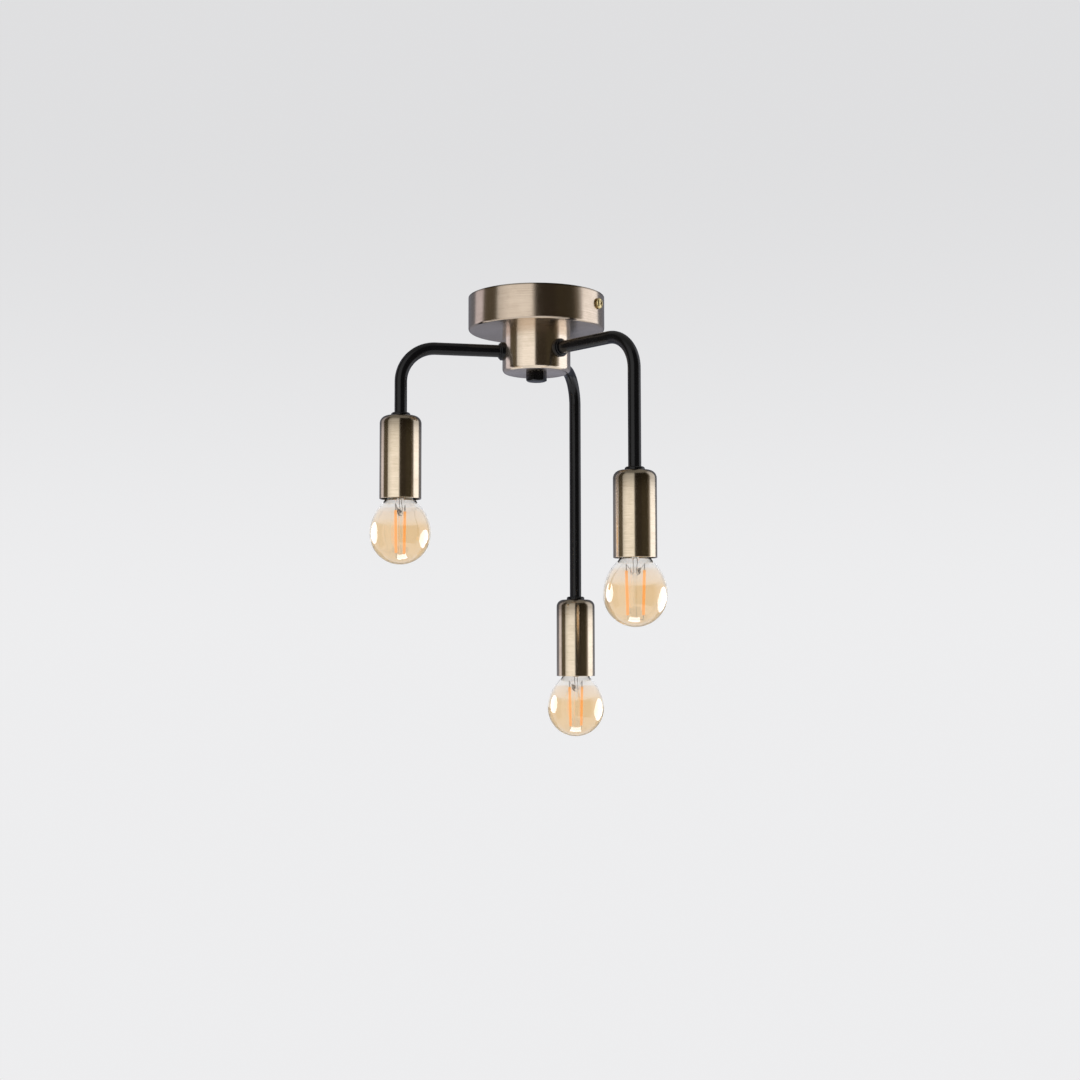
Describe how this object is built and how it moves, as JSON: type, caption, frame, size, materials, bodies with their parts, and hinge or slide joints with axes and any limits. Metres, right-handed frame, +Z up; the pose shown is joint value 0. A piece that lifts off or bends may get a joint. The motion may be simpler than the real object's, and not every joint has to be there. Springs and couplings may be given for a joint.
{
  "type": "semi flush ceiling light",
  "caption": "Semi flush ceiling light: stepped round canopy and hub, level arms that bend straight down at staggered heights, and a slim lamp cup with a globe filament bulb on each.",
  "frame": {"origin": "centre of the ceiling face, between the two slots for the ceiling screws", "axes": "+Z points up into the ceiling and the light hangs below it; +X runs along the ceiling bracket through both side screws; +Y completes a right-handed frame and points away from the picture's camera"},
  "size_m": [0.2151, 0.2057, 0.3265],
  "materials": {
    "bracket_steel": "zinc plated",
    "earth_brass": "plain",
    "canopy_brass": "brushed antique brass, lacquered",
    "screw_brass": "antique brass",
    "cup_brass": "brushed antique brass, lacquered",
    "fastener_steel": "zinc plated",
    "black_lacquer": "satin black",
    "holder_black": "moulded",
    "contact_brass": "bright stamped",
    "grommet_rubber": "matt",
    "block_plastic": "moulded",
    "cable_sheath": "smooth sheath",
    "amber_glass": "thin amber coated",
    "stem_glass": "clear",
    "lead_wire": "drawn wire",
    "filament_coating": "phosphor coated",
    "cap_nickel": "nickel plated",
    "insulator_black": "vitreous",
    "tip_solder": "soldered"
  },
  "bodies": {
    "light": {"ceiling_bracket": "bracket_steel", "earth_screw": "earth_brass", "ceiling_canopy": "canopy_brass", "canopy_side_screws": "screw_brass", "hub": "canopy_brass", "centre_tube": "fastener_steel", "canopy_lock_washer": "fastener_steel", "canopy_locknut": "fastener_steel", "hub_cap_nut": "black_lacquer", "hub_saddle_washers": "fastener_steel", "hub_locknuts": "fastener_steel", "lampholder_terminals": "contact_brass", "cable_grommets": "grommet_rubber", "terminal_block": "block_plastic", "terminal_clamps": "contact_brass", "arm_tube_right": "black_lacquer", "hub_collar_right": "black_lacquer", "lamp_cup_right": "cup_brass", "cup_collar_right": "black_lacquer", "lampholder_body_right": "holder_black", "lampholder_shell_right": "contact_brass", "lampholder_contact_right": "contact_brass", "arm_cable_right": "cable_sheath", "arm_tube_back": "black_lacquer", "hub_collar_back": "black_lacquer", "lamp_cup_back": "cup_brass", "cup_collar_back": "black_lacquer", "lampholder_body_back": "holder_black", "lampholder_shell_back": "contact_brass", "lampholder_contact_back": "contact_brass", "arm_cable_back": "cable_sheath", "arm_tube_left": "black_lacquer", "hub_collar_left": "black_lacquer", "lamp_cup_left": "cup_brass", "cup_collar_left": "black_lacquer", "lampholder_body_left": "holder_black", "lampholder_shell_left": "contact_brass", "lampholder_contact_left": "contact_brass", "arm_cable_left": "cable_sheath"},
    "bulb_travel_right": {"bulb_tip_right": "tip_solder"},
    "bulb_right": {"bulb_glass_right": "amber_glass", "bulb_stem_right": "stem_glass", "bulb_lead_wires_right": "lead_wire", "bulb_filaments_right": "filament_coating", "bulb_cap_right": "cap_nickel", "bulb_insulator_right": "insulator_black"},
    "bulb_travel_back": {"bulb_tip_back": "tip_solder"},
    "bulb_back": {"bulb_glass_back": "amber_glass", "bulb_stem_back": "stem_glass", "bulb_lead_wires_back": "lead_wire", "bulb_filaments_back": "filament_coating", "bulb_cap_back": "cap_nickel", "bulb_insulator_back": "insulator_black"},
    "bulb_travel_left": {"bulb_tip_left": "tip_solder"},
    "bulb_left": {"bulb_glass_left": "amber_glass", "bulb_stem_left": "stem_glass", "bulb_lead_wires_left": "lead_wire", "bulb_filaments_left": "filament_coating", "bulb_cap_left": "cap_nickel", "bulb_insulator_left": "insulator_black"}
  },
  "joints": [
    {"name": "bulb_right_travel", "type": "slide", "parent": "light", "child": "bulb_travel_right", "axis": [0, 0, -1], "range_m": [0, 0.01128]},
    {"name": "bulb_right_turn", "type": "hinge", "parent": "bulb_travel_right", "child": "bulb_right", "pos_m": [0.09336, -0.03584, -0.221], "axis": [0, 0, -1], "range_deg": [0, 1440]},
    {"name": "bulb_back_travel", "type": "slide", "parent": "light", "child": "bulb_travel_back", "axis": [0, 0, -1], "range_m": [0, 0.01128]},
    {"name": "bulb_back_turn", "type": "hinge", "parent": "bulb_travel_back", "child": "bulb_back", "pos_m": [-0.01564, 0.09877, -0.3045], "axis": [0, 0, -1], "range_deg": [0, 1440]},
    {"name": "bulb_left_travel", "type": "slide", "parent": "light", "child": "bulb_travel_left", "axis": [0, 0, -1], "range_m": [0, 0.01128]},
    {"name": "bulb_left_turn", "type": "hinge", "parent": "bulb_travel_left", "child": "bulb_left", "pos_m": [-0.07772, -0.06293, -0.1755], "axis": [0, 0, -1], "range_deg": [0, 1440]}
  ],
  "couplings": [
    {"joint": "bulb_right_travel", "follows": "bulb_right_turn", "m_per_rad": 0.00044882},
    {"joint": "bulb_back_travel", "follows": "bulb_back_turn", "m_per_rad": 0.00044882},
    {"joint": "bulb_left_travel", "follows": "bulb_left_turn", "m_per_rad": 0.00044882}
  ]
}
